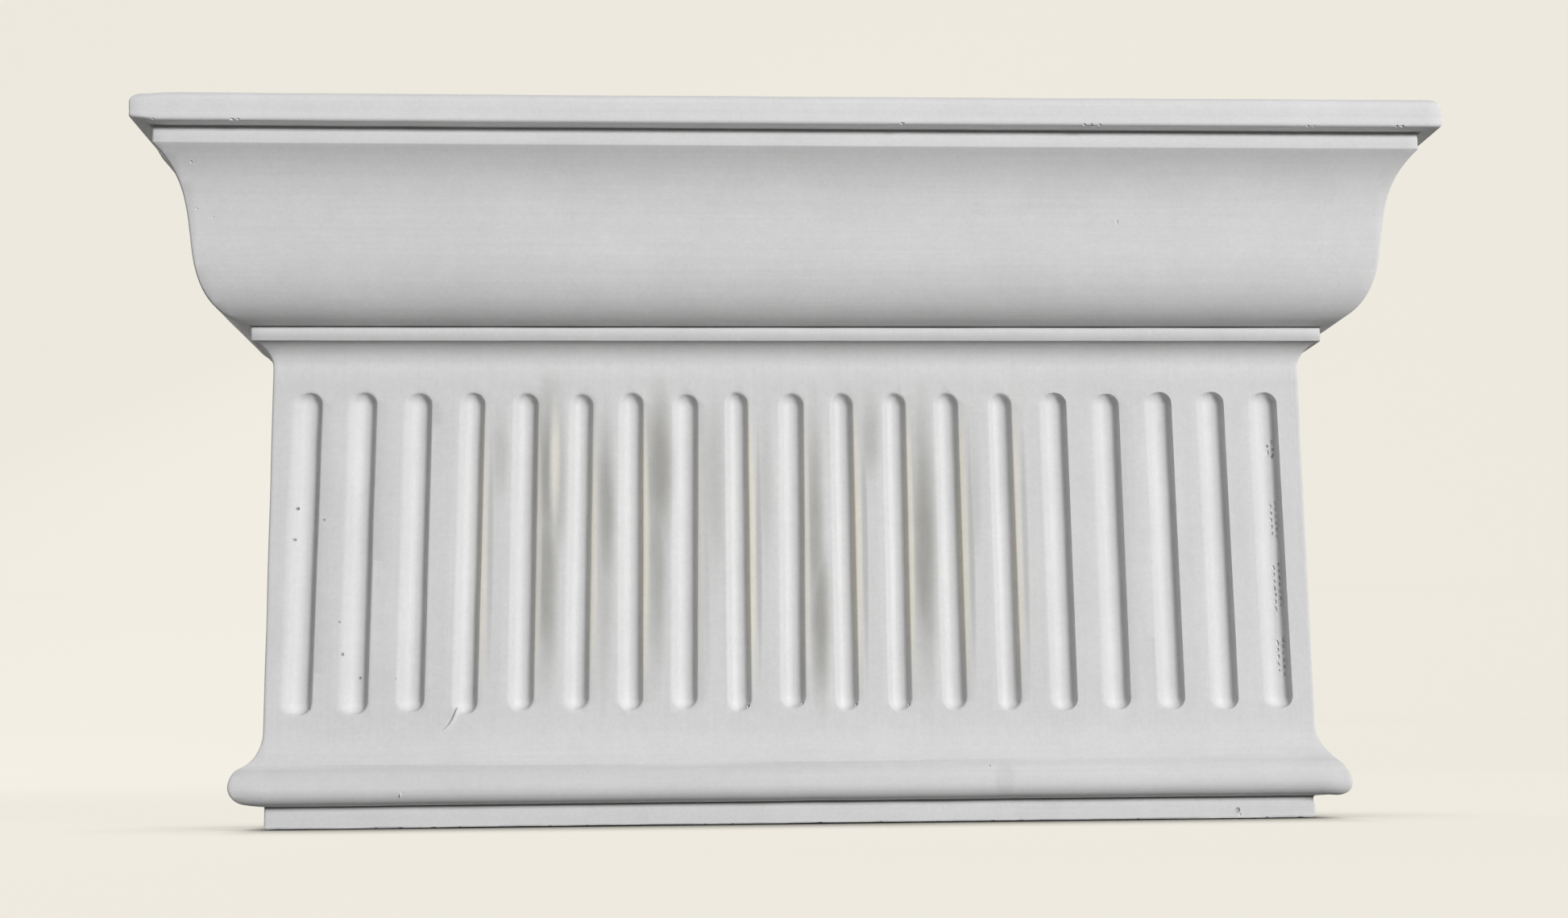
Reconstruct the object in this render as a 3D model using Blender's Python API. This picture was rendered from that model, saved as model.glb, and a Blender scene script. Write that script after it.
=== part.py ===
"""Fluted pilaster capital, cast in plaster as one block with a flat back.

The same moulded profile runs across the front and returns along both sides to the wall.
Lengths are in metres. Heights are stacked up from the underside. A projection is measured out from
the face of the neck, and a reach or overhang from the member below. The origin is on the underside,
below the middle of the block.
"""

import math

import bmesh
import bpy
from mathutils import Matrix, Vector

# Neck, the plain shaft that carries the flutes
NECK_WIDTH = 0.300
NECK_DEPTH = 0.050
NECK_HEIGHT = 0.104

# Base: a flat fillet, a soft torus and the flare that leads up into the neck
BASE_FILLET_HEIGHT = 0.0056
BASE_FILLET_SETBACK = 0.0008
TORUS_UNDERSIDE_RISE = 0.0008
TORUS_LOWER_HEIGHT = 0.0045
TORUS_LOWER_REACH = 0.00385
TORUS_UPPER_HEIGHT = 0.0061
TORUS_UPPER_REACH = 0.00355
FLARE_HEIGHT = 0.010
FLARE_PROJECTION = 0.0041

# Small hollow and fillet that end the neck below the bell
HOLLOW_HEIGHT = 0.0069
NECK_FILLET_HEIGHT = 0.0042
NECK_FILLET_PROJECTION = 0.0056
HOLLOW_LEDGE = 0.0007

# Bell: a double curve, bulging below and hollow above
BELL_LEDGE = 0.0008
BULGE_HEIGHT = 0.0193
BULGE_REACH = 0.0150
BULGE_FOOT_ANGLE = math.radians(5.0)
BELL_WAIST_ANGLE = math.radians(6.8)
BELL_HOLLOW_HEIGHT = 0.0278
BELL_HOLLOW_REACH = 0.0095
BELL_HEAD_ANGLE = math.radians(47.0)
BULGE_FOOT_PULL = 0.47
BULGE_HEAD_PULL = 0.66
HOLLOW_FOOT_PULL = 0.435
HOLLOW_HEAD_PULL = 0.374

# Cap: a fillet under the slab of the abacus
CAP_FILLET_HEIGHT = 0.0047
ABACUS_HEIGHT = 0.0090
ABACUS_OVERHANG = 0.0053
ABACUS_FOOT_ROUND = 0.0014
ABACUS_HEAD_ROUND = 0.0034

# Flutes: shallow channels with ball ends, spread evenly over the face of the neck
FLUTE_WIDTH = 0.0082
FLUTE_DEPTH = 0.0028
LAND_WIDTH = 0.0073
CORNER_LAND_LEAST = 0.0060
FLUTE_FOOT_LAND = 0.0050
FLUTE_HEAD_LAND = 0.0070

# Fineness of the curves, in straight steps
SMALL_CURVE_STEPS = 6
TORUS_STEPS = 7
BELL_STEPS = 11
FLUTE_SIDES = 24
FLUTE_END_STEPS = 5
SMOOTH_ANGLE = math.radians(32.0)
WELD_DISTANCE = 0.00001

PLASTER_COLOUR = (0.79, 0.79, 0.78, 1.0)
PLASTER_ROUGHNESS = 0.72


def clear_scene():
    for old in list(bpy.data.objects):
        bpy.data.objects.remove(old, do_unlink=True)


def plaster_material():
    material = bpy.data.materials.new("plaster")
    material.use_nodes = True
    shader = material.node_tree.nodes["Principled BSDF"]
    shader.inputs["Base Color"].default_value = PLASTER_COLOUR
    shader.inputs["Roughness"].default_value = PLASTER_ROUGHNESS
    shader.inputs["Metallic"].default_value = 0.0
    return material


def round_arc(start, way, end, steps):
    """Points after start on the circle that leaves start in the direction way and ends at end."""
    chord = end - start
    way = way.normalized()
    across = Vector((-way.y, way.x))
    lean = chord.dot(across)
    radius = chord.length_squared / (2.0 * lean)
    centre = start + across * radius
    half_turn = math.atan2(lean, chord.dot(way))
    points = []
    for step in range(1, steps + 1):
        turn = 2.0 * half_turn * step / steps
        points.append(centre + Matrix.Rotation(turn, 2) @ (start - centre))
    return points


def free_curve(start, start_pull, end, end_pull, steps):
    """Points after start on a smooth curve whose ends follow the two pulls."""
    first = start + start_pull
    second = end - end_pull
    points = []
    for step in range(1, steps + 1):
        t = step / steps
        s = 1.0 - t
        points.append(s**3 * start + 3 * s * s * t * first + 3 * s * t * t * second + t**3 * end)
    return points


def from_vertical(angle):
    return Vector((math.sin(angle), math.cos(angle)))


def base_profile():
    """Outline of the base from the underside to the foot of the neck, as (projection, height)."""
    fillet_foot = Vector((-BASE_FILLET_SETBACK, 0.0))
    fillet_head = Vector((-BASE_FILLET_SETBACK, BASE_FILLET_HEIGHT))
    nose_projection = FLARE_PROJECTION + TORUS_UPPER_REACH
    underside_z = BASE_FILLET_HEIGHT + TORUS_UNDERSIDE_RISE
    underside_end = Vector((nose_projection - TORUS_LOWER_REACH, underside_z))
    nose = Vector((nose_projection, underside_z + TORUS_LOWER_HEIGHT))
    arris = Vector((FLARE_PROJECTION, nose.y + TORUS_UPPER_HEIGHT))
    neck_foot = Vector((0.0, arris.y + FLARE_HEIGHT))
    down = Vector((0.0, -1.0))
    under_nose = round_arc(nose, down, underside_end, TORUS_STEPS)
    over_nose = round_arc(nose, -down, arris, TORUS_STEPS)
    flare = round_arc(neck_foot, down, arris, SMALL_CURVE_STEPS)
    rising = [fillet_foot, fillet_head] + under_nose[::-1] + [nose] + over_nose
    return rising + flare[-2::-1] + [neck_foot]


def bell_profile(foot):
    """Outline of the bell above its foot, up to the lower edge of the cap fillet."""
    waist = foot + Vector((BULGE_REACH, BULGE_HEIGHT))
    head = waist + Vector((BELL_HOLLOW_REACH, BELL_HOLLOW_HEIGHT))
    foot_way = Vector((math.cos(BULGE_FOOT_ANGLE), math.sin(BULGE_FOOT_ANGLE)))
    waist_way = from_vertical(BELL_WAIST_ANGLE)
    head_way = from_vertical(BELL_HEAD_ANGLE)
    bulge = free_curve(
        foot, foot_way * BULGE_FOOT_PULL * BULGE_HEIGHT,
        waist, waist_way * BULGE_HEAD_PULL * BULGE_HEIGHT, BELL_STEPS)
    hollow = free_curve(
        waist, waist_way * HOLLOW_FOOT_PULL * BELL_HOLLOW_HEIGHT,
        head, head_way * HOLLOW_HEAD_PULL * BELL_HOLLOW_HEIGHT, BELL_STEPS)
    return bulge + hollow


def cap_profile(bell_head):
    """Outline of the cap fillet and the abacus above the bell."""
    fillet_head = bell_head + Vector((0.0, CAP_FILLET_HEIGHT))
    top = fillet_head.y + ABACUS_HEIGHT
    room = min(1.0, ABACUS_HEIGHT / (ABACUS_FOOT_ROUND + ABACUS_HEAD_ROUND))
    foot_round = ABACUS_FOOT_ROUND * room
    head_round = ABACUS_HEAD_ROUND * room
    face = fillet_head.x + ABACUS_OVERHANG
    soffit_end = Vector((face - foot_round, fillet_head.y))
    face_foot = Vector((face, fillet_head.y + foot_round))
    face_head = Vector((face, top - head_round))
    top_end = Vector((face - head_round, top))
    outwards = Vector((1.0, 0.0))
    upwards = Vector((0.0, 1.0))
    points = [fillet_head, soffit_end]
    points += round_arc(soffit_end, outwards, face_foot, SMALL_CURVE_STEPS)
    if (face_head - face_foot).length > WELD_DISTANCE:
        points.append(face_head)
    return points + round_arc(face_head, upwards, top_end, SMALL_CURVE_STEPS)


def capital_profile():
    """Whole outline from the underside to the top, and the heights where the neck starts and ends."""
    base = base_profile()
    neck_foot = base[-1]
    neck_head = neck_foot + Vector((0.0, NECK_HEIGHT))
    fillet_foot = Vector((NECK_FILLET_PROJECTION, neck_head.y + HOLLOW_HEIGHT))
    hollow_head = fillet_foot - Vector((HOLLOW_LEDGE, 0.0))
    fillet_head = fillet_foot + Vector((0.0, NECK_FILLET_HEIGHT))
    bell_foot = fillet_head - Vector((BELL_LEDGE, 0.0))
    hollow = round_arc(neck_head, Vector((0.0, 1.0)), hollow_head, SMALL_CURVE_STEPS)
    bell = bell_profile(bell_foot)
    cap = cap_profile(bell[-1])
    profile = base + [neck_head] + hollow + [fillet_foot, fillet_head, bell_foot] + bell + cap
    return profile, neck_foot.y, neck_head.y


def plan_corners(point, wall_y):
    """Corners of the block at one point of the profile, mitred at the front and flat at the wall."""
    half_width = NECK_WIDTH / 2.0 + point.x
    front_y = wall_y - NECK_DEPTH - point.x
    return [
        Vector((-half_width, wall_y, point.y)),
        Vector((-half_width, front_y, point.y)),
        Vector((half_width, front_y, point.y)),
        Vector((half_width, wall_y, point.y)),
    ]


def moulded_block(profile, wall_y):
    """Front and sides raised step by step along the profile, closed by a flat back, foot and top."""
    block = bmesh.new()
    chain = [block.verts.new(corner) for corner in plan_corners(profile[0], wall_y)]
    for pair in zip(chain, chain[1:]):
        block.edges.new(pair)
    foot = chain
    left_side = [chain[0]]
    right_side = [chain[-1]]
    for point in profile[1:]:
        edges = [block.edges.get(pair) for pair in zip(chain, chain[1:])]
        made = bmesh.ops.extrude_edge_only(block, edges=edges)["geom"]
        raised = [item for item in made if isinstance(item, bmesh.types.BMVert)]
        chain = [next(top for top in raised if top.co == vert.co) for vert in chain]
        for vert, corner in zip(chain, plan_corners(point, wall_y)):
            vert.co = corner
        left_side.append(chain[0])
        right_side.append(chain[-1])
    block.faces.new(foot)
    block.faces.new(chain)
    block.faces.new(left_side + right_side[::-1])
    bmesh.ops.recalc_face_normals(block, faces=block.faces[:])
    mesh = bpy.data.meshes.new("pilaster_capital")
    block.to_mesh(mesh)
    block.free()
    return mesh


def flute_places():
    """Middle lines of the flutes across the neck, as many as fit between the corner lands."""
    pitch = FLUTE_WIDTH + LAND_WIDTH
    room = NECK_WIDTH - 2.0 * CORNER_LAND_LEAST - FLUTE_WIDTH
    spaces = math.floor(room / pitch)
    return [(index - spaces / 2.0) * pitch for index in range(spaces + 1)]


def flute_cutter(foot_z, head_z, face_y):
    """Round-ended bars that cut the flutes, turned about axes that stand in front of the neck."""
    radius = (FLUTE_WIDTH**2 / 4.0 + FLUTE_DEPTH**2) / (2.0 * FLUTE_DEPTH)
    axis_y = face_y - (radius - FLUTE_DEPTH)
    half_width = FLUTE_WIDTH / 2.0
    lower_z = foot_z + FLUTE_FOOT_LAND + half_width
    upper_z = head_z - FLUTE_HEAD_LAND - half_width
    bars = bmesh.new()
    for place in flute_places():
        axis = Vector((place, axis_y, 0.0))
        outline = []
        for step in range(FLUTE_END_STEPS + 1):
            angle = math.pi / 2.0 * step / FLUTE_END_STEPS
            reach = Vector((0.0, radius * math.sin(angle), lower_z - radius * math.cos(angle)))
            outline.append(bars.verts.new(axis + reach))
        for step in range(FLUTE_END_STEPS + 1):
            angle = math.pi / 2.0 * step / FLUTE_END_STEPS
            reach = Vector((0.0, radius * math.cos(angle), upper_z + radius * math.sin(angle)))
            outline.append(bars.verts.new(axis + reach))
        edges = [bars.edges.new(pair) for pair in zip(outline, outline[1:])]
        bmesh.ops.spin(
            bars, geom=outline + edges, cent=axis, axis=(0.0, 0.0, 1.0),
            angle=2.0 * math.pi, steps=FLUTE_SIDES, use_merge=True)
    bmesh.ops.remove_doubles(bars, verts=bars.verts[:], dist=WELD_DISTANCE)
    bmesh.ops.recalc_face_normals(bars, faces=bars.faces[:])
    mesh = bpy.data.meshes.new("flute_cutter")
    bars.to_mesh(mesh)
    bars.free()
    return mesh


def add_object(name, mesh):
    item = bpy.data.objects.new(name, mesh)
    bpy.context.scene.collection.objects.link(item)
    return item


def build_capital():
    profile, neck_foot_z, neck_head_z = capital_profile()
    greatest_projection = max(point.x for point in profile)
    wall_y = (NECK_DEPTH + greatest_projection) / 2.0
    face_y = wall_y - NECK_DEPTH

    capital = add_object("pilaster_capital", moulded_block(profile, wall_y))
    capital.data.materials.append(plaster_material())
    capital.data.shade_smooth()
    capital.data.set_sharp_from_angle(angle=SMOOTH_ANGLE)

    cutter = add_object("flute_cutter", flute_cutter(neck_foot_z, neck_head_z, face_y))
    cutter.hide_render = True
    cutter.display_type = "WIRE"

    cut = capital.modifiers.new("flutes", "BOOLEAN")
    cut.operation = "DIFFERENCE"
    cut.solver = "EXACT"
    cut.object = cutter


clear_scene()
build_capital()
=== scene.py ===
import math
import random

import bpy
from mathutils import Matrix, Vector


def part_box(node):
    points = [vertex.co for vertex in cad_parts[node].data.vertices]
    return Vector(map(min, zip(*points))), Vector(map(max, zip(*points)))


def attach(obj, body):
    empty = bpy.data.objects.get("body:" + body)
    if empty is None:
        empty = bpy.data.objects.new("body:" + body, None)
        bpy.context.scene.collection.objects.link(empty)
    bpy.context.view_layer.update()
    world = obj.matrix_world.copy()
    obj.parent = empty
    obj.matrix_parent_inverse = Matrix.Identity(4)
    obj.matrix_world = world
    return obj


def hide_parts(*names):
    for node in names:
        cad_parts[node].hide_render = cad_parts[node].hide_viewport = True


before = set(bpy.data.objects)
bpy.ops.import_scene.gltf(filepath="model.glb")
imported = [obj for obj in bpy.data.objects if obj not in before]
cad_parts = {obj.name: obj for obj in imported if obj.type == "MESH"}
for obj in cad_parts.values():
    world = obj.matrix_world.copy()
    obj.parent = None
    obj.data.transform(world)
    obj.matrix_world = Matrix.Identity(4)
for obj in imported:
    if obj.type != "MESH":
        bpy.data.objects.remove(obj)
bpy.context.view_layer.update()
MM = 0.001

# The camera stands low in front of the piece, a little left of its middle, and looks up at it,
# because the photograph sees the soffits of the upper mouldings and only the front of the base.
bpy.ops.object.select_all(action="DESELECT")
camera_ways = (
    Matrix.Rotation(math.radians(-2.958), 3, "Z")
    @ Matrix.Rotation(math.radians(8.774), 3, "X")
    @ Matrix.Rotation(math.radians(0.606), 3, "Y")
    @ Matrix.Rotation(math.radians(90.0), 3, "X")
)
bpy.ops.object.camera_add(location=(-0.0324, -0.5845, 0.0150), rotation=camera_ways.to_euler())
camera = bpy.context.object
camera.data.sensor_fit = "HORIZONTAL"
camera.data.sensor_width = 36.0
camera.data.lens = 46.25
camera.data.clip_start = 0.01
bpy.context.scene.camera = camera

# The block of the capital: cast plaster, run to one moulded profile along the front and both
# returns, with a flat back bedded on the wall. It is raised here member by member from its foot.
block_low, block_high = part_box("pilaster_capital")
WALL_Y = block_high.y
NECK_WIDTH = 300.0 * MM
NECK_DEPTH = 50.0 * MM
NECK_FACE_Y = WALL_Y - NECK_DEPTH
NECK_HEIGHT = 104.0 * MM
MITRE_ROUND = 0.7 * MM
ARRIS_ROUND = 0.3 * MM
ARRIS_TURN = math.radians(25.0)


def arc(start, way, end, steps):
    """Points after start on the circle that leaves start in the direction way and ends at end."""
    chord = end - start
    across = Vector((-way.y, way.x))
    lean = chord.dot(across)
    centre = start + across * (chord.length_squared / (2.0 * lean))
    turn = 2.0 * math.atan2(lean, chord.dot(way)) / steps
    return [centre + Matrix.Rotation(turn * step, 2) @ (start - centre) for step in range(1, steps + 1)]


def sweep(start, start_pull, end, end_pull, steps):
    """Points after start on a free curve whose ends follow the two pulls."""
    points = []
    for step in range(1, steps + 1):
        t = step / steps
        s = 1.0 - t
        inner = 3 * s * s * t * (start + start_pull) + 3 * s * t * t * (end - end_pull)
        points.append(s**3 * start + inner + t**3 * end)
    return points


def reach_height(reach, height):
    """A place on the profile, given in millimetres out from the neck and up from the foot."""
    return Vector((reach * MM, height * MM))


def from_vertical(degrees):
    """The way that leans out from the vertical by an angle."""
    return Vector((math.sin(math.radians(degrees)), math.cos(math.radians(degrees))))


UP = Vector((0.0, 1.0))
OUT = Vector((1.0, 0.0))

base_fillet_foot = reach_height(-0.8, 0.0)
base_fillet_head = reach_height(-0.8, 6.1)
torus_underside = reach_height(3.8, 6.6)
torus_nose = reach_height(7.65, 10.9)
torus_arris = reach_height(4.1, 17.0)
neck_foot = reach_height(0.0, 27.0)
profile = [base_fillet_foot, base_fillet_head]
profile += arc(torus_nose, -UP, torus_underside, 10)[::-1] + [torus_nose]
profile += arc(torus_nose, UP, torus_arris, 10)
profile += arc(neck_foot, -UP, torus_arris, 12)[-2::-1] + [neck_foot]

neck_head = neck_foot + UP * NECK_HEIGHT
hollow_head = neck_head + reach_height(4.9, 6.9)
neck_fillet_foot = neck_head + reach_height(5.6, 6.9)
neck_fillet_head = neck_fillet_foot + reach_height(0.0, 4.2)
profile += [neck_head] + arc(neck_head, UP, hollow_head, 12) + [neck_fillet_foot, neck_fillet_head]

bell_foot = neck_fillet_head - reach_height(0.8, 0.0)
bell_waist = bell_foot + reach_height(15.0, 19.3)
bell_head = bell_waist + reach_height(9.5, 27.8)
profile += [bell_foot]
profile += sweep(bell_foot, from_vertical(85.0) * 9.1 * MM, bell_waist, from_vertical(6.8) * 12.8 * MM, 24)
profile += sweep(bell_waist, from_vertical(6.8) * 12.1 * MM, bell_head, from_vertical(47.0) * 10.4 * MM, 20)

cap_fillet_head = bell_head + reach_height(0.0, 4.7)
soffit_end = cap_fillet_head + reach_height(4.3, 0.0)
abacus_foot = cap_fillet_head + reach_height(5.3, 1.0)
abacus_head = cap_fillet_head + reach_height(5.3, 5.6)
top_edge = cap_fillet_head + reach_height(1.9, 9.0)
profile += [cap_fillet_head, soffit_end] + arc(soffit_end, OUT, abacus_foot, 5)
face_groove = cap_fillet_head + reach_height(5.22, 2.6)
profile += [cap_fillet_head + reach_height(5.3, 1.9), face_groove, cap_fillet_head + reach_height(5.3, 3.3)]
profile += [abacus_head] + arc(abacus_head, UP, top_edge, 8)


def ease_arrises(points):
    """Replace each sharp outward corner of the profile by a short worn curve."""
    eased = [points[0]]
    for before, corner, after in zip(points, points[1:], points[2:]):
        way_in, way_out = (corner - before).normalized(), (after - corner).normalized()
        turn = math.atan2(way_in.x * way_out.y - way_in.y * way_out.x, way_in.dot(way_out))
        if turn < ARRIS_TURN:
            eased.append(corner)
            continue
        cut = min(ARRIS_ROUND, 0.45 * (after - corner).length, 0.45 * (corner - before).length)
        start = corner - way_in * cut
        eased += [start] + arc(start, way_in, corner + way_out * cut, 3)
    return eased + [points[-1]]


profile = ease_arrises(profile)
hand = random.Random(7)
MOULD_DRAG = 0.02 * MM
for point in profile:
    on_torus = torus_underside.y < point.y < neck_foot.y
    on_bell = bell_foot.y + 2.0 * MM < point.y < bell_head.y - 1.0 * MM
    if on_torus or on_bell:
        point.x -= hand.random() * MOULD_DRAG


def plan_size(point):
    """The width and depth of the block at a point of its profile."""
    return NECK_WIDTH + 2.0 * point.x, NECK_DEPTH + point.x


def pick(piece, kind, chosen):
    """Leave the piece in edit mode with only the faces, edges or points that the test chooses."""
    bpy.context.view_layer.objects.active = piece
    bpy.ops.object.mode_set(mode="EDIT")
    bpy.ops.mesh.select_mode(type=kind)
    bpy.ops.mesh.select_all(action="DESELECT")
    bpy.ops.object.mode_set(mode="OBJECT")
    items = {"FACE": piece.data.polygons, "EDGE": piece.data.edges, "VERT": piece.data.vertices}[kind]
    for item in items:
        item.select = chosen(item)
    bpy.ops.object.mode_set(mode="EDIT")


HAIR = 0.01 * MM

bpy.ops.object.select_all(action="DESELECT")
bpy.ops.mesh.primitive_plane_add(size=1.0, location=(0.0, 0.0, 0.0))
capital = bpy.context.object
capital.name = "plaster_capital"
width, depth = plan_size(profile[0])
bpy.ops.object.mode_set(mode="EDIT")
bpy.ops.transform.resize(value=(width, depth, 1.0), center_override=(0.0, 0.0, 0.0))
bpy.ops.transform.translate(value=(0.0, WALL_Y - depth / 2.0, 0.0))
pick(capital, "VERT", lambda point: point.co.y < 0.0)
bpy.ops.mesh.bevel(offset=MITRE_ROUND, segments=3, affect="VERTICES")
bpy.ops.mesh.select_mode(type="FACE")
bpy.ops.mesh.select_all(action="SELECT")
height = 0.0
for point in profile[1:]:
    wider, deeper = plan_size(point)
    bpy.ops.mesh.extrude_region_move(TRANSFORM_OT_translate={"value": (0.0, 0.0, point.y - height)})
    bpy.ops.transform.resize(
        value=(wider / width, deeper / depth, 1.0), center_override=(0.0, WALL_Y, point.y))
    width, depth, height = wider, deeper, point.y
bpy.ops.object.mode_set(mode="OBJECT")
points = capital.data.vertices
pick(capital, "FACE", lambda face: all(points[i].co.y > WALL_Y - HAIR for i in face.vertices))
bpy.ops.mesh.delete(type="FACE")
bpy.ops.mesh.select_mode(type="EDGE")
bpy.ops.mesh.select_non_manifold(extend=False)
bpy.ops.mesh.edge_face_add()
bpy.ops.mesh.select_all(action="SELECT")
bpy.ops.mesh.normals_make_consistent(inside=False)


def slice_across(axis, places):
    """Cut rows of points through the whole block, so that its long faces can be worn and bowed."""
    for place in places:
        where, way = [0.0, 0.0, 0.0], [0.0, 0.0, 0.0]
        where[axis], way[axis] = place, 1.0
        bpy.ops.mesh.select_all(action="SELECT")
        bpy.ops.mesh.bisect(plane_co=where, plane_no=way)


ROW_GAP = 4.0 * MM
rows_x = [ROW_GAP * step for step in range(-46, 47)] + [side * MM for side in (-148.7, -147.9, 147.9, 148.7)]
rows_y = [WALL_Y - 5.0 * MM - 7.0 * MM * step for step in range(0, 12)]
rows_z = [neck_foot.y + ROW_GAP * step for step in range(1, 26)] + [0.5 * MM, 1.2 * MM, 3.4 * MM]
slice_across(0, rows_x)
slice_across(1, rows_y)
slice_across(2, rows_z)
bpy.ops.object.mode_set(mode="OBJECT")

# The flutes: nineteen ball-ended channels cut by hand into the neck, so their spacing wanders by
# a millimetre. Each is a half round, rubbed over wide on its left lip. The right rim is rubbed too
# in the first fourteen and still crisp in the last five.
FLUTE_DEPTH = 3.0 * MM
BALL_ROUND = 3.4 * MM
BALL_RISE = BALL_ROUND - FLUTE_DEPTH
LEFT_LIP_ROUND = 3.6 * MM
RIGHT_LIP_ROUNDS = ((0.6 * MM, range(1, 5)), (1.0 * MM, range(5, 15)), (0.25 * MM, range(15, 20)))
LONGEST_FLUTE = 93.0 * MM
RIM_FOOT_HEAD = (
    (-136.15, -135.15, 31.1, 124.2), (-120.55, -119.65, 31.2, 124.3), (-104.75, -103.85, 31.8, 124.1),
    (-89.75, -88.65, 31.0, 124.2), (-73.75, -73.05, 31.6, 124.3), (-58.15, -57.25, 31.7, 124.1),
    (-42.85, -42.75, 31.4, 124.4), (-27.35, -26.85, 31.6, 124.0), (-12.05, -12.45, 30.9, 124.5),
    (3.45, 3.75, 31.6, 124.2), (18.65, 18.15, 30.9, 124.2), (33.85, 33.65, 30.7, 124.2),
    (49.75, 49.05, 30.8, 124.2), (65.45, 64.75, 30.6, 124.1), (81.25, 80.65, 30.8, 123.8),
    (96.65, 96.15, 30.9, 123.5), (112.45, 111.85, 30.9, 124.0), (128.05, 127.45, 30.7, 124.0),
    (143.85, 143.25, 31.0, 123.8),
)
LEFT_HALF_SHARES = (
    1.0, 0.9, 0.86, 0.72, 0.75, 0.68, 0.71, 0.8, 0.62, 0.74,
    0.62, 0.64, 0.74, 0.64, 0.88, 0.89, 0.93, 0.97, 1.04,
)
ROUND_SIDES = 36
BALL_STEPS = 7
ROWS_PER_FLUTE = 20
FLOOR_HALF_WIDTH = 0.05 * MM


def lip_start(lip_round):
    """How far from the flute's middle its lip leaves the face."""
    return math.sqrt((BALL_ROUND + lip_round) ** 2 - (lip_round + BALL_RISE) ** 2)


def half_width(below, lip_round):
    """Half the width of the flute at a depth below the face, on the side with that lip."""
    lip_ends = (lip_round + BALL_RISE) * BALL_ROUND / (BALL_ROUND + lip_round) - BALL_RISE
    if below < lip_ends:
        return lip_start(lip_round) - math.sqrt(lip_round**2 - (lip_round - below) ** 2)
    return math.sqrt(max(BALL_ROUND**2 - (below + BALL_RISE) ** 2, 0.0))


lip_depths = [step * MM for step in (0.02, 0.06, 0.13, 0.24, 0.4, 0.6, 0.85, 1.15)]
ball_from = math.acos((1.5 * MM + BALL_RISE) / BALL_ROUND)
ball_depths = [BALL_ROUND * math.cos(ball_from * (1.0 - step / BALL_STEPS)) - BALL_RISE
               for step in range(BALL_STEPS)]
hand = random.Random(19)
flute_cores = []
for right_lip_round, numbers in RIGHT_LIP_ROUNDS:
    lip_reach = lip_start(right_lip_round)
    rings = [(-0.3 * MM, lip_start(LEFT_LIP_ROUND) + 2.2 * MM, lip_reach + 1.0 * MM)]
    for below in lip_depths + ball_depths:
        rings.append((below, half_width(below, LEFT_LIP_ROUND), half_width(below, right_lip_round)))
    rings.append((FLUTE_DEPTH, FLOOR_HALF_WIDTH, FLOOR_HALF_WIDTH))

    bpy.ops.object.select_all(action="DESELECT")
    below, left, radius = rings[0]
    bpy.ops.mesh.primitive_circle_add(
        vertices=ROUND_SIDES, radius=radius, fill_type="NGON", rotation=(math.radians(90.0), 0.0, 0.0))
    bpy.ops.object.transform_apply(location=True, rotation=True, scale=True)
    flute_core = bpy.context.object
    flute_core.name = "flute_core"
    bpy.ops.object.mode_set(mode="EDIT")
    bpy.ops.mesh.select_all(action="SELECT")
    bpy.ops.transform.translate(value=(0.0, NECK_FACE_Y + below, 0.0))
    for next_below, left, next_radius in rings[1:]:
        bpy.ops.mesh.extrude_region_move(TRANSFORM_OT_translate={"value": (0.0, next_below - below, 0.0)})
        grow = next_radius / radius
        bpy.ops.transform.resize(value=(grow, 1.0, grow), center_override=(0.0, 0.0, 0.0))
        below, radius = next_below, next_radius
    bpy.ops.object.mode_set(mode="OBJECT")
    for below, left, right in rings:
        ring_y = NECK_FACE_Y + below
        pick(flute_core, "VERT", lambda point: point.co.x < -HAIR and abs(point.co.y - ring_y) < 0.5 * HAIR)
        bpy.ops.transform.resize(value=(left / right, 1.0, 1.0), center_override=(0.0, 0.0, 0.0))
        bpy.ops.object.mode_set(mode="OBJECT")
    straight = LONGEST_FLUTE - 2.0 * lip_reach
    pick(flute_core, "FACE", lambda face: True)
    bpy.ops.mesh.bisect(plane_co=(0.0, 0.0, 0.0), plane_no=(0.0, 0.0, 1.0))
    bpy.ops.object.mode_set(mode="OBJECT")
    pick(flute_core, "FACE", lambda face: face.center.z > HAIR)
    bpy.ops.mesh.extrude_region_move(TRANSFORM_OT_translate={"value": (0.0, 0.0, straight)})
    for step in range(1, ROWS_PER_FLUTE):
        bpy.ops.mesh.select_all(action="SELECT")
        bpy.ops.mesh.bisect(plane_co=(0.0, 0.0, straight * step / ROWS_PER_FLUTE), plane_no=(0.0, 0.0, 1.0))
    bpy.ops.mesh.select_all(action="SELECT")
    bpy.ops.mesh.normals_make_consistent(inside=False)
    bpy.ops.object.mode_set(mode="OBJECT")

    for number in numbers:
        left_share = LEFT_HALF_SHARES[number - 1]
        rim_low, rim_high, foot, head = RIM_FOOT_HEAD[number - 1]
        bpy.ops.object.select_all(action="DESELECT")
        flute_core.select_set(True)
        bpy.context.view_layer.objects.active = flute_core
        bpy.ops.object.duplicate()
        core = bpy.context.object
        pick(core, "VERT", lambda point: point.co.x < -HAIR)
        bpy.ops.transform.resize(value=(left_share, 1.0, 1.0), center_override=(0.0, 0.0, 0.0))
        bpy.ops.object.mode_set(mode="OBJECT")
        run = (head - foot) * MM - 2.0 * lip_reach
        jitter = hand.uniform(-0.1, 0.1) * MM
        core.location = (rim_low * MM - lip_reach, jitter, foot * MM + lip_reach)
        core.rotation_euler.y = (rim_high - rim_low) * MM / run
        core.scale.z = run / straight
        bpy.ops.object.transform_apply(location=True, rotation=True, scale=True)
        flute_cores.append(core)
    bpy.data.objects.remove(flute_core)
bpy.ops.object.select_all(action="DESELECT")
for core in flute_cores:
    core.select_set(True)
bpy.context.view_layer.objects.active = flute_cores[0]
bpy.ops.object.join()
flute_cores = bpy.context.object


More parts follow.
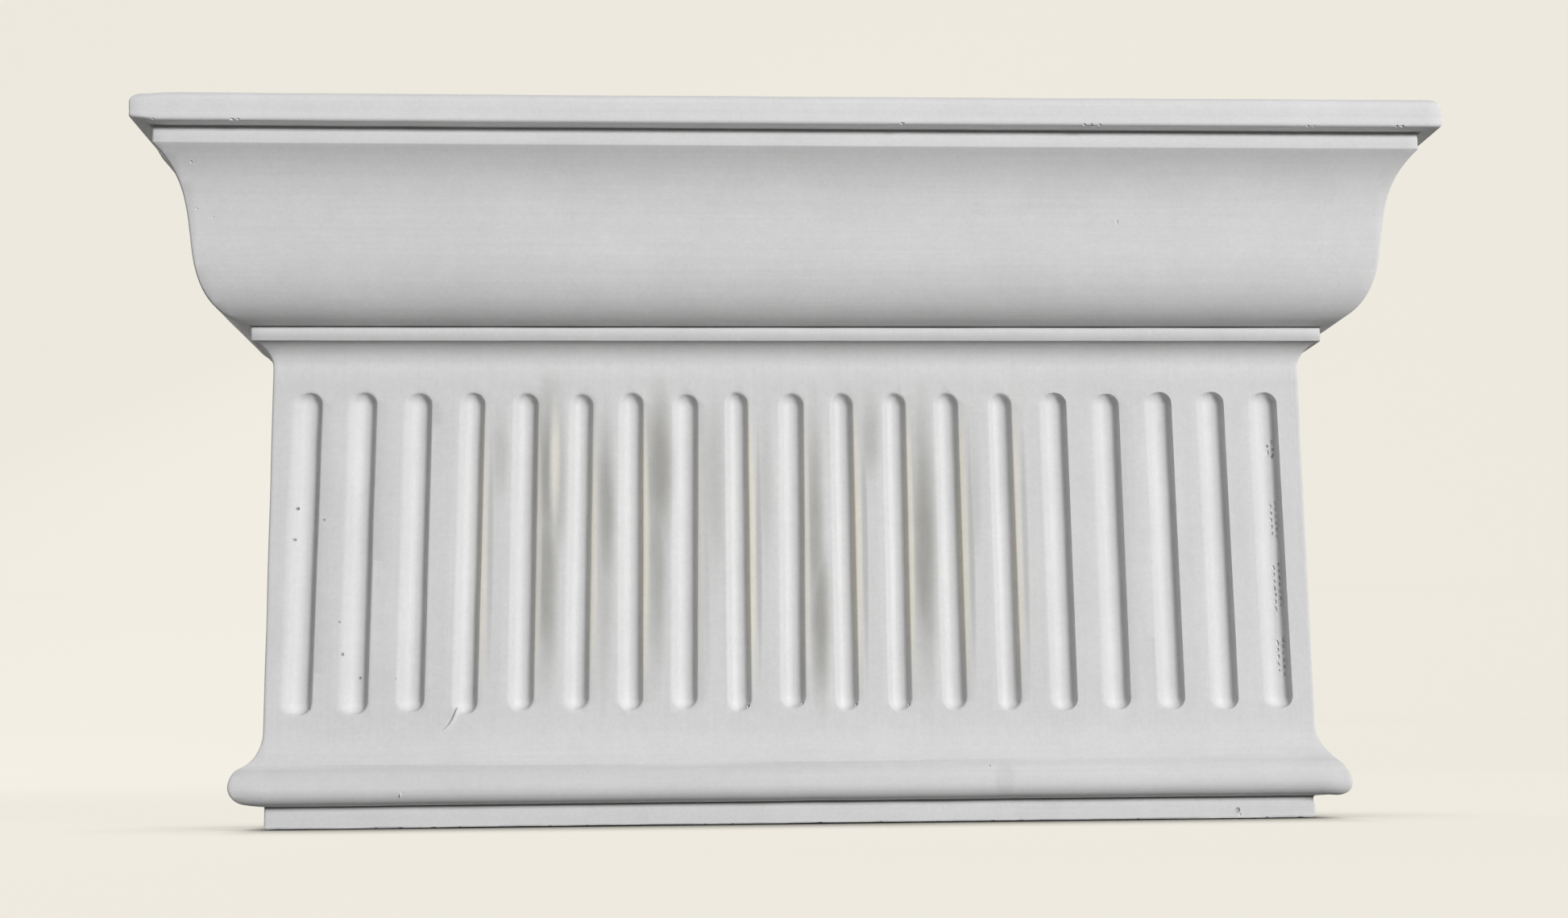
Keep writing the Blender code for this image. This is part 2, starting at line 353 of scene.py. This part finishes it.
def flute_floor(offset):
    """How deep a flute is at a distance to the left of its deepest line."""
    ball_ends = BALL_ROUND * lip_start(LEFT_LIP_ROUND) / (BALL_ROUND + LEFT_LIP_ROUND)
    if offset < ball_ends:
        return math.sqrt(BALL_ROUND**2 - offset**2) - BALL_RISE
    return LEFT_LIP_ROUND - math.sqrt(LEFT_LIP_ROUND**2 - (lip_start(LEFT_LIP_ROUND) - offset) ** 2)


def carve(piece, tool, operation="DIFFERENCE"):
    """Cut the tool out of the piece, or weld it on, and throw the tool away."""
    bpy.ops.object.select_all(action="DESELECT")
    piece.select_set(True)
    bpy.context.view_layer.objects.active = piece
    bpy.ops.object.modifier_add(type="BOOLEAN")
    cut = piece.modifiers[-1]
    cut.operation = operation
    cut.solver = "EXACT"
    cut.object = tool
    bpy.ops.object.modifier_apply(modifier=cut.name)
    bpy.data.objects.remove(tool)


carve(capital, flute_cores)

# The wear: pinholes and a pit where air bubbles broke, nicks in the arrises, a bite out of the foot
# and a thread and drops of slurry that ran down before the cast set. All are in the same plaster.
def face_y(height):
    """Where the front of the mouldings stands at a height."""
    for low, high in zip(profile, profile[1:]):
        if low.y <= height <= high.y and high.y > low.y:
            share = (height - low.y) / (high.y - low.y)
            return NECK_FACE_Y - (low.x + share * (high.x - low.x))
    return NECK_FACE_Y


def bead(x, y, z, size, turn=0.0):
    """A small lump, given by its place and its three half sizes in millimetres."""
    bpy.ops.object.select_all(action="DESELECT")
    bpy.ops.mesh.primitive_ico_sphere_add(subdivisions=2, radius=MM, location=(x, y, z))
    lump = bpy.context.object
    lump.scale = size
    lump.rotation_euler.y = math.radians(turn)
    bpy.ops.object.transform_apply(location=True, rotation=True, scale=True)
    return lump


def join(parts):
    """Make one object of several."""
    bpy.ops.object.select_all(action="DESELECT")
    for part in parts:
        part.select_set(True)
    bpy.context.view_layer.objects.active = parts[0]
    bpy.ops.object.join()
    return bpy.context.object


# Each air hole has its side, height and radius in millimetres and how deep its middle is sunk.
AIR_HOLES = (
    (-142.1, 90.4, 0.36, flute_floor(2.3 * MM)), (-142.6, 81.4, 0.34, flute_floor(2.7 * MM)),
    (-134.3, 86.9, 0.33, 0.0), (-137.1, 33.1, 0.4, 0.3 * MM), (2.0, 33.6, 0.45, 0.3 * MM),
    (-13.5, 33.0, 0.5, 0.35 * MM), (17.4, 33.2, 0.45, 0.35 * MM), (32.5, 33.0, 0.4, 0.4 * MM),
    (-129.3, 57.7, 0.3, flute_floor(5.3 * MM)), (-128.2, 48.6, 0.36, flute_floor(4.1 * MM)),
    (-123.5, 42.0, 0.34, flute_floor(0.3 * MM)),
    (126.3, 2.3, 0.80, -0.35 * MM), (126.9, 1.0, 0.42, -0.15 * MM), (-169.0, 184.6, 0.35, -0.1 * MM),
    (-168.0, 172.3, 0.42, -0.2 * MM), (-163.5, 170.0, 0.30, -0.1 * MM),
)
SOFFIT_NICKS = (-156.0, -154.4, 81.6, 83.6, 86.0, 145.6, 147.4, 171.3, 172.9, -177.6, 30.0)
SCRAPED_LENGTHS = ((105, 110), (81, 92), (60, 74), (41, 52))
hand = random.Random(23)
hollows = []
for x, z, radius, sunk in AIR_HOLES:
    hollows.append(bead(x * MM, face_y(z * MM) + sunk, z * MM, (radius, radius, radius)))
hollows.append(bead(92.8 * MM, face_y(169.2 * MM) - 0.12 * MM, 169.2 * MM, (0.22, 0.3, 1.1), turn=14.0))
soffit_z = cap_fillet_head.y
for x in SOFFIT_NICKS:
    lift = hand.uniform(0.15, 0.35) * MM
    hollows.append(bead(x * MM, face_y(soffit_z + 1.0 * MM) + 0.35 * MM, soffit_z + lift,
                        (hand.uniform(0.3, 0.6), 0.42, 0.34)))
x = -146.0
while x < 144.0:
    x += hand.uniform(3.0, 14.0) if -122.0 < x < -108.0 or -14.0 < x < 0.0 else hand.uniform(4.0, 40.0)
    hollows.append(bead(x * MM, NECK_FACE_Y - base_fillet_foot.x, 0.0,
                        (hand.uniform(0.3, 1.1), 0.4, hand.uniform(0.12, 0.3))))
rim_low, rim_high, foot, head = RIM_FOOT_HEAD[-1]
for lowest, highest in SCRAPED_LENGTHS:
    for z in range(lowest, highest):
        rim = rim_low + (rim_high - rim_low) * (z - foot) / (head - foot)
        right_of_floor = (0.7 + 1.35 * (z % 2) + hand.uniform(-0.08, 0.08)) * MM
        hollows.append(bead(
            rim * MM - lip_reach + right_of_floor, NECK_FACE_Y + flute_floor(right_of_floor), z * MM,
            (hand.uniform(0.22, 0.4), 0.3, hand.uniform(0.4, 0.85)), turn=hand.uniform(-30.0, 30.0)))
foot_end = NECK_WIDTH / 2.0 + base_fillet_foot.x
hollows.append(bead(foot_end + 0.5 * MM, NECK_FACE_Y + 0.8 * MM, 4.9 * MM, (1.5, 2.6, 1.3), turn=20.0))
carve(capital, join(hollows))

drops = [
    bead(-112.9 * MM, NECK_FACE_Y + 0.05 * MM, 41.7 * MM, (0.45, 0.35, 0.3)),
    bead(-110.3 * MM, face_y(9.2 * MM), 9.2 * MM, (0.3, 0.4, 0.9), turn=-10.0),
    bead(-109.0 * MM, face_y(10.0 * MM), 10.0 * MM, (0.2, 0.3, 0.4)),
    bead(54.6 * MM, face_y(15.4 * MM), 15.4 * MM, (0.3, 0.25, 0.7), turn=15.0),
]
bpy.ops.object.select_all(action="DESELECT")
thread_y = NECK_FACE_Y + 0.07 * MM
bpy.ops.mesh.primitive_circle_add(
    vertices=12, radius=0.34 * MM, fill_type="NGON", location=(-95.6 * MM, thread_y, 33.4 * MM))
bpy.ops.object.transform_apply(location=True, rotation=True, scale=True)
thread = bpy.context.object
bpy.ops.object.mode_set(mode="EDIT")
bpy.ops.mesh.select_all(action="SELECT")
across, down = -95.6, 33.4
for x, z, grow in (
    (-95.9, 32.2, 1.7), (-96.3, 31.0, 1.25), (-96.8, 29.8, 1.0),
    (-97.6, 28.7, 0.9), (-98.6, 27.7, 0.75), (-99.6, 26.9, 0.5), (-100.2, 26.5, 0.3),
):
    bpy.ops.mesh.extrude_region_move(
        TRANSFORM_OT_translate={"value": ((x - across) * MM, 0.0, (z - down) * MM)})
    bpy.ops.transform.resize(value=(grow, grow, 1.0), center_override=(x * MM, thread_y, z * MM))
    across, down = x, z
bpy.ops.mesh.select_all(action="SELECT")
bpy.ops.mesh.normals_make_consistent(inside=False)
bpy.ops.object.mode_set(mode="OBJECT")
carve(capital, join(drops + [thread]), operation="UNION")
pick(capital, "VERT", lambda point: True)
bpy.ops.mesh.remove_doubles(threshold=HAIR * 0.4)
bpy.ops.mesh.dissolve_degenerate(threshold=HAIR * 0.4)
bpy.ops.object.mode_set(mode="OBJECT")


def rub(chosen, move, reach):
    """Push a worn place of the block, drawing its surroundings along with it."""
    pick(capital, "VERT", chosen)
    bpy.ops.transform.translate(
        value=[step * MM for step in move], use_proportional_edit=True,
        proportional_edit_falloff="SMOOTH", proportional_size=reach * MM)
    bpy.ops.object.mode_set(mode="OBJECT")


abacus_end = block_high.x
rub(lambda point: point.co.x < -abacus_end + 3.0 * MM and point.co.z > block_high.z - 2.0 * MM,
    (0.0, 0.0, -0.5), 9.0)
rub(lambda point: point.co.x < -abacus_end + 2.0 * MM and abs(point.co.z - soffit_z) < 0.6 * MM
    and point.co.y < NECK_FACE_Y, (0.1, 0.0, 0.7), 6.0)
rub(lambda point: point.co.x < -156.0 * MM and abs(point.co.z - 13.0 * MM) < 1.5 * MM,
    (-0.2, 0.0, 0.9), 9.0)
rub(lambda point: point.co.x > 156.0 * MM and abs(point.co.z - 11.0 * MM) < 1.5 * MM,
    (0.0, 0.0, -1.0), 8.0)
rub(lambda point: abs(point.co.x) > foot_end - 0.3 * MM and point.co.z < HAIR, (0.0, 0.0, 0.8), 1.4)

bpy.ops.object.select_all(action="DESELECT")
bpy.ops.object.add(type="LATTICE", location=(0.0, 0.0, block_high.z / 2.0))
cage = bpy.context.object
cage.scale = (block_high.x - block_low.x, block_high.y - block_low.y, block_high.z)
cage.data.points_u, cage.data.points_v, cage.data.points_w = 5, 2, 2
cage.data.interpolation_type_u = "KEY_CARDINAL"
SAG = 0.25 * MM
for point in cage.data.points:
    bow = 1.0 - (2.0 * point.co.x) ** 2
    point.co_deform.z -= math.copysign(SAG * bow / block_high.z, point.co.z)
bpy.ops.object.select_all(action="DESELECT")
capital.select_set(True)
bpy.context.view_layer.objects.active = capital
bpy.ops.object.modifier_add(type="LATTICE")
capital.modifiers[-1].object = cage
bpy.ops.object.modifier_apply(modifier=capital.modifiers[-1].name)
bpy.data.objects.remove(cage)

unevenness = bpy.data.textures.new("hand_unevenness", type="CLOUDS")
unevenness.noise_scale = 22.0 * MM
unevenness.noise_depth = 1
bpy.ops.object.modifier_add(type="DISPLACE")
uneven = capital.modifiers[-1]
uneven.texture = unevenness
uneven.texture_coords = "LOCAL"
uneven.mid_level = 1.0
uneven.strength = 0.22 * MM
bpy.ops.object.modifier_apply(modifier=uneven.name)
bpy.ops.object.shade_smooth_by_angle(angle=math.radians(38.0))

# The finish: bare white plaster, dull and slightly mottled. The running mould left strokes along
# the mouldings and the scraper left others down the neck, and shade is painted into the sunk corners.
plaster = bpy.data.materials.new("cast_plaster")
plaster.use_nodes = True
tree = plaster.node_tree
shader = tree.nodes["Principled BSDF"]


def node(kind, *inputs, **settings):
    """Add a node to the material in hand; each input is a value, or the output that feeds it."""
    made = tree.nodes.new(kind)
    for name, value in settings.items():
        setattr(made, name, value)
    for place, value in enumerate(inputs):
        if isinstance(value, bpy.types.NodeSocket):
            tree.links.new(value, made.inputs[place])
        elif value is not None:
            made.inputs[place].default_value = value
    return made.outputs[0]


def sum_of(operation, first, second=0.0, third=0.0):
    """The result of one step of arithmetic."""
    return node("ShaderNodeMath", first, second, third, operation=operation)


def spread(value, low, high, to_low, to_high, blend="LINEAR"):
    """Stretch a value from one range to another and hold it there."""
    return node("ShaderNodeMapRange", value, low, high, to_low, to_high, interpolation_type=blend)


def cloud(place, scale, detail, rough):
    """Soft noise, with its scale in waves per millimetre."""
    return node("ShaderNodeTexNoise", place, None, scale, detail, rough, noise_dimensions="3D")


# Every place and distance in this material is in millimetres.
object_place = tree.nodes.new("ShaderNodeTexCoord").outputs["Object"]
place = node("ShaderNodeVectorMath", object_place, (1000.0, 1000.0, 1000.0), operation="MULTIPLY")
split = tree.nodes.new("ShaderNodeSeparateXYZ")
tree.links.new(place, split.inputs[0])
side, deep, rise = split.outputs
from_front = sum_of("SUBTRACT", sum_of("MULTIPLY", deep, -1.0), -NECK_FACE_Y / MM)
from_side = sum_of("SUBTRACT", sum_of("ABSOLUTE", side), NECK_WIDTH / MM / 2.0)
reach = sum_of("MAXIMUM", from_front, from_side)
along = sum_of("MULTIPLY", sum_of("ADD", side, deep), 0.016)
on_front = spread(deep, -2.0, 2.0, 1.0, 0.0)
on_neck = sum_of(
    "MULTIPLY",
    spread(rise, 20.0, 27.0, 0.0, 1.0),
    spread(rise, 131.0, 138.0, 1.0, 0.0),
)

mottle = cloud(place, 0.035, 5.0, 0.6)
blotches = cloud(place, 0.25, 3.0, 0.6)
grain = cloud(place, 1.0, 4.0, 0.7)
mould_strokes = cloud(node("ShaderNodeCombineXYZ", reach, rise, along), 0.9, 4.0, 0.7)
down = node("ShaderNodeVectorMath", place, (0.9, 0.3, 0.03), operation="MULTIPLY")
scraper_strokes = cloud(down, 1.0, 3.0, 0.6)
mould_share = spread(on_neck, 0.0, 1.0, 1.0, 0.3)
mould_lines = sum_of("MULTIPLY", sum_of("SUBTRACT", mould_strokes, 0.5), mould_share)
scraper_lines = sum_of("MULTIPLY", sum_of("SUBTRACT", scraper_strokes, 0.5), on_neck)

# Each sunk corner has its reach and height, how far its painted shade spreads and how dark it is.
SUNK_CORNERS = (
    (-0.8, 6.2, 0.7, 1.0), (5.2, 142.15, 1.0, 0.9), (29.3, 193.9, 1.1, 0.7), (5.4, 138.0, 4.0, 0.4))
profile_place = node("ShaderNodeCombineXYZ", reach, rise, 0.0)
corner_shade = None
for corner_reach, corner_height, far, darkness in SUNK_CORNERS:
    away = tree.nodes.new("ShaderNodeVectorMath")
    away.operation = "DISTANCE"
    tree.links.new(profile_place, away.inputs[0])
    away.inputs[1].default_value = (corner_reach, corner_height, 0.0)
    darkened = spread(away.outputs["Value"], 0.15, far, darkness, 0.0, "SMOOTHSTEP")
    corner_shade = darkened if corner_shade is None else sum_of("MAXIMUM", corner_shade, darkened)

soft_patch = bpy.data.node_groups.new("soft_patch", "ShaderNodeTree")
soft_patch.interface.new_socket("Place", in_out="INPUT", socket_type="NodeSocketVector")
soft_patch.interface.new_socket("Centre", in_out="INPUT", socket_type="NodeSocketVector")
soft_patch.interface.new_socket("Half Size", in_out="INPUT", socket_type="NodeSocketVector")
soft_patch.interface.new_socket("Hardness", in_out="INPUT", socket_type="NodeSocketFloat")
soft_patch.interface.new_socket("Mask", in_out="OUTPUT", socket_type="NodeSocketFloat")
given = soft_patch.nodes.new("NodeGroupInput")
offset = soft_patch.nodes.new("ShaderNodeVectorMath")
offset.operation = "SUBTRACT"
soft_patch.links.new(given.outputs["Place"], offset.inputs[0])
soft_patch.links.new(given.outputs["Centre"], offset.inputs[1])
share = soft_patch.nodes.new("ShaderNodeVectorMath")
share.operation = "DIVIDE"
soft_patch.links.new(offset.outputs[0], share.inputs[0])
soft_patch.links.new(given.outputs["Half Size"], share.inputs[1])
length = soft_patch.nodes.new("ShaderNodeVectorMath")
length.operation = "LENGTH"
soft_patch.links.new(share.outputs[0], length.inputs[0])
fade = soft_patch.nodes.new("ShaderNodeMapRange")
fade.interpolation_type = "SMOOTHSTEP"
soft_patch.links.new(length.outputs["Value"], fade.inputs["Value"])
soft_patch.links.new(given.outputs["Hardness"], fade.inputs["From Min"])
fade.inputs["From Max"].default_value = 1.0
fade.inputs["To Min"].default_value = 1.0
fade.inputs["To Max"].default_value = 0.0
result = soft_patch.nodes.new("NodeGroupOutput")
soft_patch.links.new(fade.outputs[0], result.inputs["Mask"])

wander = cloud(place, 0.06, 2.0, 0.5).node.outputs["Color"]
wander = node("ShaderNodeVectorMath", wander, (0.5, 0.5, 0.5), operation="SUBTRACT")
wander = node("ShaderNodeVectorMath", wander, (1.4, 0.0, 9.0), operation="MULTIPLY")
flat_place = node("ShaderNodeCombineXYZ", side, 0.0, rise)
stain_place = node("ShaderNodeVectorMath", flat_place, wander, operation="ADD")


def patches(table, where, hardness):
    """The greatest of several soft patches, each given by centre, half size and strength."""
    mask = None
    for x, z, half_wide, half_high, strength in table:
        patch = tree.nodes.new("ShaderNodeGroup")
        patch.node_tree = soft_patch
        tree.links.new(where, patch.inputs["Place"])
        patch.inputs["Centre"].default_value = (x, 0.0, z)
        patch.inputs["Half Size"].default_value = (half_wide, 1.0, half_high)
        patch.inputs["Hardness"].default_value = hardness
        weighed = sum_of("MULTIPLY", patch.outputs["Mask"], strength)
        mask = weighed if mask is None else sum_of("MAXIMUM", mask, weighed)
    return sum_of("MULTIPLY", mask, on_front)


grime_and_hole_shade = patches((
    (-84.5, 106.0, 3.8, 17.0, 0.35), (-70.4, 100.0, 6.6, 36.0, 1.0), (-70.9, 70.0, 4.8, 42.0, 0.9),
    (-54.1, 90.0, 3.8, 36.0, 0.9), (-54.4, 66.0, 3.2, 40.0, 0.4), (-38.7, 101.0, 5.8, 34.0, 1.0),
    (-39.4, 78.0, 3.8, 50.0, 0.75), (-22.7, 96.0, 4.4, 34.0, 0.4), (-7.9, 97.0, 3.6, 30.0, 0.3),
    (6.2, 82.0, 4.0, 52.0, 0.8), (7.4, 58.0, 4.2, 34.0, 1.0), (22.5, 112.0, 4.2, 18.0, 0.5),
    (37.8, 80.0, 5.4, 54.0, 1.0), (37.4, 74.0, 4.2, 40.0, 1.0), (52.6, 96.0, 3.2, 30.0, 0.25),
), stain_place, 0.12)
grime_gap = patches(((-68.7, 103.0, 2.6, 34.0, 0.95),), flat_place, 0.0)
grime_and_hole_shade = sum_of("MULTIPLY", grime_and_hole_shade, sum_of("SUBTRACT", 1.0, grime_gap))
# How strongly the shaded right side of each of these flutes is painted a lighter beige.
WARM_FLUTES = {4: 0.75, 5: 0.5, 6: 0.7, 7: 1.0, 8: 0.3, 9: 1.0, 10: 0.5, 11: 1.0, 12: 0.9, 13: 0.95, 14: 0.8}
warm_bands, rim_lines = [], []
for number, strength in WARM_FLUTES.items():
    rim_low, rim_high, foot, head = RIM_FOOT_HEAD[number - 1]
    rim = (rim_low + rim_high) / 2.0
    warm_bands.append((rim - 0.3, 79.0, 1.9, 52.0, strength))
    rim_lines.append((rim + 2.2, 79.0, 1.2, 46.0, 0.5 * strength))
warmth = patches(warm_bands, flat_place, 0.4)
warmth = sum_of("MAXIMUM", warmth, patches(((-68.7, 104.0, 2.0, 24.0, 1.0),), flat_place, 0.0))
grime_and_hole_shade = sum_of("MAXIMUM", grime_and_hole_shade, patches(rim_lines, flat_place, 0.3))
# Painted shade: the air holes and the pit are darkened in and round them.
grime_and_hole_shade = sum_of("MAXIMUM", grime_and_hole_shade, patches((
    (-142.1, 90.4, 0.7, 0.7, 1.0), (-142.6, 81.4, 0.7, 0.7, 1.0), (-134.3, 86.9, 0.6, 0.6, 0.9),
    (126.3, 2.3, 1.1, 1.1, 0.8), (-128.2, 48.6, 0.7, 0.7, 1.0), (-123.5, 42.0, 0.7, 0.7, 1.0),
    (-129.3, 57.7, 0.5, 0.5, 0.8),
), flat_place, 0.3))
repair = patches(((58.5, 12.0, 3.4, 5.6, 1.0),), flat_place, 0.6)

shade = spread(mottle, 0.3, 0.7, 0.978, 1.028)
shade = sum_of("MULTIPLY", shade, spread(blotches, 0.3, 0.7, 0.986, 1.014))
for lines, weight in ((mould_lines, 0.11), (scraper_lines, 0.08)):
    shade = sum_of("MULTIPLY", shade, sum_of("MULTIPLY_ADD", lines, weight, 1.0))
shade = sum_of("MULTIPLY", shade, spread(grain, 0.3, 0.7, 0.973, 1.027))
# Painted shade: the sunk corners are darkened.
shade = sum_of("MULTIPLY", shade, sum_of("MULTIPLY_ADD", corner_shade, -0.6, 1.0))
# Painted highlight: the abacus face, the furthest member out, is made lighter.
shade = sum_of("MULTIPLY", shade, spread(reach, 26.0, 31.0, 1.0, 1.08))
# Each band of painted light has its middle height, its full and its faded half height, and how much lighter
# it is.
PAINTED_LIGHT_BANDS = ((131.5, 0.0, 5.0, 1.07), (140.0, 1.9, 2.3, 1.07), (166.0, 4.0, 17.0, 1.03))
for middle, solid, faded, lighter in PAINTED_LIGHT_BANDS:
    off = sum_of("ABSOLUTE", sum_of("SUBTRACT", rise, middle))
    shade = sum_of("MULTIPLY", shade, spread(off, solid, faded, lighter, 1.0))
ragged = sum_of("MULTIPLY_ADD", mould_lines, 5.0, rise)
# The top of the torus is painted darker, less so towards the right end.
torus_top_darkening = sum_of("MULTIPLY", spread(rise, 11.5, 15.5, 0.0, 1.0), spread(ragged, 16.9, 17.3, 1.0, 0.0))
torus_top_darkening = sum_of("MULTIPLY", torus_top_darkening, spread(side, 20.0, 80.0, 1.0, 0.15))
# Painted shade: the upper part of the hollow under the neck fillet is darkened.
hollow_shade = sum_of("MULTIPLY", spread(ragged, 134.2, 136.4, 0.0, 1.0), spread(rise, 137.9, 138.1, 1.0, 0.0))
shade = sum_of("MULTIPLY", shade, sum_of("MULTIPLY_ADD", torus_top_darkening, -0.075, 1.0))
shade = sum_of("MULTIPLY", shade, sum_of("MULTIPLY_ADD", hollow_shade, -0.09, 1.0))
shade = sum_of("MULTIPLY", shade, sum_of("MULTIPLY_ADD", repair, -0.06, 1.0))
on_back = spread(deep, 41.4, 42.0, 0.0, 1.0)
on_top = sum_of("MULTIPLY", spread(rise, 202.0, 202.5, 0.0, 1.0), spread(reach, 28.5, 30.5, 1.0, 0.0))
on_foot = spread(rise, 0.25, 0.5, 1.0, 0.0)
unseen = sum_of("MAXIMUM", sum_of("MAXIMUM", on_back, on_top), on_foot)
trowel = cloud(node("ShaderNodeVectorMath", place, (0.06, 0.12, 0.12), operation="MULTIPLY"), 1.0, 5.0, 0.6)
rough_cast = sum_of("MULTIPLY", unseen, spread(trowel, 0.3, 0.7, 0.0, 1.0))
shade = sum_of("MULTIPLY", shade, sum_of("MULTIPLY_ADD", rough_cast, -0.14, 1.0))
PLASTER_GREY = (0.79, 0.79, 0.79, 1.0)
# The grey of the grime, and of the painted shade in the air holes.
GRIME_AND_SHADE_GREY = (0.45, 0.445, 0.42, 1.0)
# The beige painted over the shaded right sides of the middle flutes, lightening them.
LIGHT_BEIGE = (0.92, 0.885, 0.78, 1.0)
tint = tree.nodes.new("ShaderNodeMix")
tint.data_type = "RGBA"
tree.links.new(grime_and_hole_shade, tint.inputs["Factor"])
tint.inputs["A"].default_value = PLASTER_GREY
tint.inputs["B"].default_value = GRIME_AND_SHADE_GREY
warm = tree.nodes.new("ShaderNodeMix")
warm.data_type = "RGBA"
tree.links.new(warmth, warm.inputs["Factor"])
tree.links.new(tint.outputs["Result"], warm.inputs["A"])
warm.inputs["B"].default_value = LIGHT_BEIGE
colour = node("ShaderNodeVectorMath", warm.outputs["Result"], operation="SCALE")
tree.links.new(shade, colour.node.inputs["Scale"])
tree.links.new(colour, shader.inputs["Base Color"])
tree.links.new(spread(blotches, 0.3, 0.7, 0.88, 0.78), shader.inputs["Roughness"])
shader.inputs["Specular IOR Level"].default_value = 0.25

height = sum_of("MULTIPLY_ADD", mould_lines, 0.9, sum_of("MULTIPLY", grain, 0.5))
height = sum_of("MULTIPLY_ADD", scraper_lines, 0.7, height)
height = sum_of("MULTIPLY_ADD", repair, 0.8, height)
height = sum_of("MULTIPLY_ADD", rough_cast, 22.0, height)
bump = tree.nodes.new("ShaderNodeBump")
bump.inputs["Strength"].default_value = 1.0
bump.inputs["Distance"].default_value = 0.03 * MM
tree.links.new(height, bump.inputs["Height"])
tree.links.new(bump.outputs["Normal"], shader.inputs["Normal"])
capital.data.materials.clear()
capital.data.materials.append(plaster)

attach(capital, "root")
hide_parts("pilaster_capital")

# The studio: a cream paper floor that glows evenly, curves up behind the piece and has a painted contact
# shadow where they touch. A large soft light stands low on the right, with weaker ones above, behind and on
# the left.
CREAM = (0.846, 0.812, 0.730)
bpy.ops.object.select_all(action="DESELECT")
bpy.ops.mesh.primitive_plane_add(size=6.0, location=(0.0, 0.0, 0.0))
floor = bpy.context.object
floor.name = "paper_floor"
paper = bpy.data.materials.new("cream_paper")
paper.use_nodes = True
tree = paper.node_tree
shader = tree.nodes["Principled BSDF"]
shader.inputs["Base Color"].default_value = (0.06, 0.058, 0.052, 1.0)
shader.inputs["Roughness"].default_value = 0.9
shader.inputs["Specular IOR Level"].default_value = 0.0
shader.inputs["Emission Strength"].default_value = 0.97

# The painted shadow at the foot is weaker beyond the ends of the piece. Places here are in metres.
CONTACT_REACH = 0.06
FOOT_ENDS = (0.146, 0.156)
near = node("ShaderNodeAmbientOcclusion", samples=6)
near.node.inputs["Distance"].default_value = CONTACT_REACH
paper_place = node("ShaderNodeSeparateXYZ", tree.nodes.new("ShaderNodeTexCoord").outputs["Object"])
beside = spread(sum_of("ABSOLUTE", paper_place), *FOOT_ENDS, 1.0, 0.3)
contact_shadow = spread(near.node.outputs["AO"], 0.5, 0.98, 1.0, 0.0)
lit = sum_of("SUBTRACT", 1.0, sum_of("MULTIPLY", contact_shadow, beside))
glow = node("ShaderNodeVectorMath", CREAM, operation="SCALE")
tree.links.new(lit, glow.node.inputs["Scale"])
tree.links.new(glow, shader.inputs["Emission Color"])
floor.visible_diffuse = False
floor.data.materials.append(paper)
points = floor.data.vertices
pick(floor, "EDGE", lambda edge: all(points[i].co.y > 0.0 for i in edge.vertices))
for rise, back in ((0.1, 0.5), (0.3, 0.35), (0.6, 0.2), (3.0, 0.0)):
    bpy.ops.mesh.extrude_region_move(TRANSFORM_OT_translate={"value": (0.0, back, rise)})
bpy.ops.object.mode_set(mode="OBJECT")
bpy.ops.object.shade_smooth()

MIDDLE_OF_PIECE = Vector((0.0, 0.0, 0.1))


def hang_light(name, azimuth, height, away, size, energy):
    """A round soft light that faces the piece, given by its side and height as seen from it."""
    side, rise = math.radians(azimuth), math.radians(height)
    way = Vector((math.sin(side) * math.cos(rise), -math.cos(side) * math.cos(rise), math.sin(rise)))
    bpy.ops.object.light_add(type="AREA", location=MIDDLE_OF_PIECE + way * away)
    light = bpy.context.object
    light.name = name
    light.rotation_euler = way.to_track_quat("Z", "Y").to_euler()
    light.data.shape = "DISK"
    light.data.size = size
    light.data.energy = energy


hang_light("key_light", azimuth=34.0, height=12.0, away=6.0, size=1.2, energy=294.0)
hang_light("top_light", azimuth=15.0, height=65.0, away=2.5, size=1.6, energy=4.0)
hang_light("back_light", azimuth=205.0, height=30.0, away=4.0, size=2.4, energy=80.0)
hang_light("left_light", azimuth=-110.0, height=20.0, away=4.0, size=2.0, energy=45.0)

world = bpy.data.worlds.new("studio_air")
bpy.context.scene.world = world
world.use_nodes = True
air = world.node_tree
fill_air = air.nodes["Background"]
fill_air.inputs["Color"].default_value = (1.0, 1.0, 1.0, 1.0)
fill_air.inputs["Strength"].default_value = 0.085
seen_air = air.nodes.new("ShaderNodeBackground")
seen_air.inputs["Color"].default_value = (*CREAM, 1.0)
seen_or_fill = air.nodes.new("ShaderNodeMixShader")
air.links.new(air.nodes.new("ShaderNodeLightPath").outputs["Is Camera Ray"], seen_or_fill.inputs[0])
air.links.new(fill_air.outputs[0], seen_or_fill.inputs[1])
air.links.new(seen_air.outputs[0], seen_or_fill.inputs[2])
air.links.new(seen_or_fill.outputs[0], air.nodes["World Output"].inputs["Surface"])
bpy.context.scene.view_settings.view_transform = "Standard"
